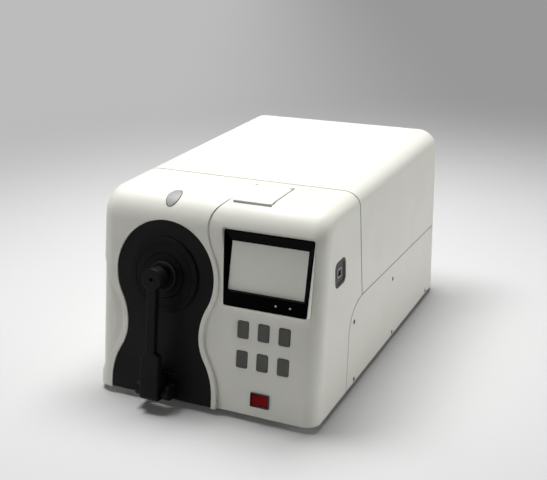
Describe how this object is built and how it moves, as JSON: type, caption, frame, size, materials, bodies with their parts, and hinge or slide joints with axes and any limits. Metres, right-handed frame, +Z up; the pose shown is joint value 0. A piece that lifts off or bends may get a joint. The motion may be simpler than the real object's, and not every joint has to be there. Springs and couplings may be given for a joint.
{
  "type": "benchtop colorimeter",
  "caption": "Benchtop colorimeter: leaning front with a round measuring port, spring-loaded flip-down sample arm, tilted display, keys, rocker switch and a small top lid.",
  "frame": {"origin": "centre of the footprint, on the surface it stands on", "axes": "+Z up, the measuring front faces -Y, +X to the right seen from the front"},
  "size_m": [0.3006, 0.5034, 0.255],
  "materials": {
    "shell_white": "fine moulded texture",
    "black_plastic": "satin black",
    "bezel_black": "gloss black",
    "screen_grey": "unlit liquid crystal panel",
    "key_grey": "matt dark grey",
    "rocker_red": "gloss red",
    "button_grey": "light grey",
    "socket_grey": "dark grey",
    "steel": "bright",
    "aluminium": "machined",
    "sphere_white": "diffuse white",
    "board_green": "solder mask",
    "rubber_black": "matt",
    "clear_glass": "polished",
    "lamp_white": "frosted"
  },
  "bodies": {
    "case": {"front_cover": "shell_white", "rear_cover": "shell_white", "base_pan": "shell_white", "display_housing": "shell_white", "lid_well": "shell_white", "port_panel": "black_plastic", "port_flange": "black_plastic", "aperture_mask": "black_plastic", "hinge_bracket": "black_plastic", "spectrometer_housing": "black_plastic", "spectrometer_cover": "black_plastic", "power_inlet": "black_plastic", "power_switch_body": "black_plastic", "display_bezel": "bezel_black", "display_panel": "screen_grey", "side_port_frame": "socket_grey", "hinge_pin": "steel", "arm_spring": "steel", "lid_pin": "steel", "data_port": "steel", "side_socket": "steel", "lamp_housing": "aluminium", "lens_tube": "aluminium", "chassis_plate": "aluminium", "sphere_stand": "aluminium", "spectrometer_stand": "aluminium", "power_supply": "aluminium", "rear_panel": "aluminium", "sphere_front_half": "sphere_white", "sphere_port_ring": "sphere_white", "sphere_rear_half": "sphere_white", "line_sensor": "board_green", "main_board": "board_green", "keypad_board": "board_green", "measure_switch": "board_green", "foot_front_left": "rubber_black", "foot_front_right": "rubber_black", "foot_rear_left": "rubber_black", "foot_rear_right": "rubber_black", "keypad_mat": "rubber_black", "viewing_lens": "clear_glass", "diffraction_grating": "clear_glass", "status_lamp_left": "clear_glass", "status_lamp_right": "clear_glass", "flash_lamp": "lamp_white"},
    "arm": {"sample_arm": "black_plastic", "pad_spring": "steel"},
    "pad": {"sample_pad": "rubber_black", "pad_holder": "black_plastic"},
    "lid": {"top_lid": "shell_white"},
    "measure_button": {"measure_button": "button_grey"},
    "rocker": {"power_rocker": "rocker_red"},
    "key_upper_left": {"key_upper_left": "key_grey"},
    "key_upper_middle": {"key_upper_middle": "key_grey"},
    "key_upper_right": {"key_upper_right": "key_grey"},
    "key_lower_left": {"key_lower_left": "key_grey"},
    "key_lower_middle": {"key_lower_middle": "key_grey"},
    "key_lower_right": {"key_lower_right": "key_grey"}
  },
  "joints": [
    {"name": "arm_hinge", "type": "hinge", "parent": "case", "child": "arm", "pos_m": [-0.0567, -0.23636, 0.02335], "axis": [1, 0, 0], "range_deg": [0, 80], "stiffness_Nm_per_rad": 0.06, "springref_deg": -45.84},
    {"name": "pad_slide", "type": "slide", "parent": "arm", "child": "pad", "axis": [0, -0.9829, 0.1839], "range_m": [0, 0.004], "stiffness_N_per_m": 200, "springref_m": -0.003, "deforming": ["pad_spring"]},
    {"name": "lid_hinge", "type": "hinge", "parent": "case", "child": "lid", "pos_m": [0.0456, -0.09709, 0.2518], "axis": [-1, 0, 0], "range_deg": [0, 95]},
    {"name": "measure_press", "type": "slide", "parent": "case", "child": "measure_button", "axis": [0, 0.4695, -0.8829], "range_m": [0, 0.002], "stiffness_N_per_m": 800, "springref_m": -0.001},
    {"name": "key_upper_left_press", "type": "slide", "parent": "case", "child": "key_upper_left", "axis": [0, 0.9854, -0.1702], "range_m": [0, 0.0015], "stiffness_N_per_m": 600, "springref_m": -0.001},
    {"name": "key_upper_middle_press", "type": "slide", "parent": "case", "child": "key_upper_middle", "axis": [0, 0.9854, -0.1702], "range_m": [0, 0.0015], "stiffness_N_per_m": 600, "springref_m": -0.001},
    {"name": "key_upper_right_press", "type": "slide", "parent": "case", "child": "key_upper_right", "axis": [0, 0.9854, -0.1702], "range_m": [0, 0.0015], "stiffness_N_per_m": 600, "springref_m": -0.001},
    {"name": "key_lower_left_press", "type": "slide", "parent": "case", "child": "key_lower_left", "axis": [0, 0.9854, -0.1702], "range_m": [0, 0.0015], "stiffness_N_per_m": 600, "springref_m": -0.001},
    {"name": "key_lower_middle_press", "type": "slide", "parent": "case", "child": "key_lower_middle", "axis": [0, 0.9854, -0.1702], "range_m": [0, 0.0015], "stiffness_N_per_m": 600, "springref_m": -0.001},
    {"name": "key_lower_right_press", "type": "slide", "parent": "case", "child": "key_lower_right", "axis": [0, 0.9854, -0.1702], "range_m": [0, 0.0015], "stiffness_N_per_m": 600, "springref_m": -0.001},
    {"name": "rocker_tip", "type": "hinge", "parent": "case", "child": "rocker", "pos_m": [0.0772, -0.21457, 0.02822], "axis": [0, -0.1702, -0.9854], "range_deg": [0, 20]}
  ]
}
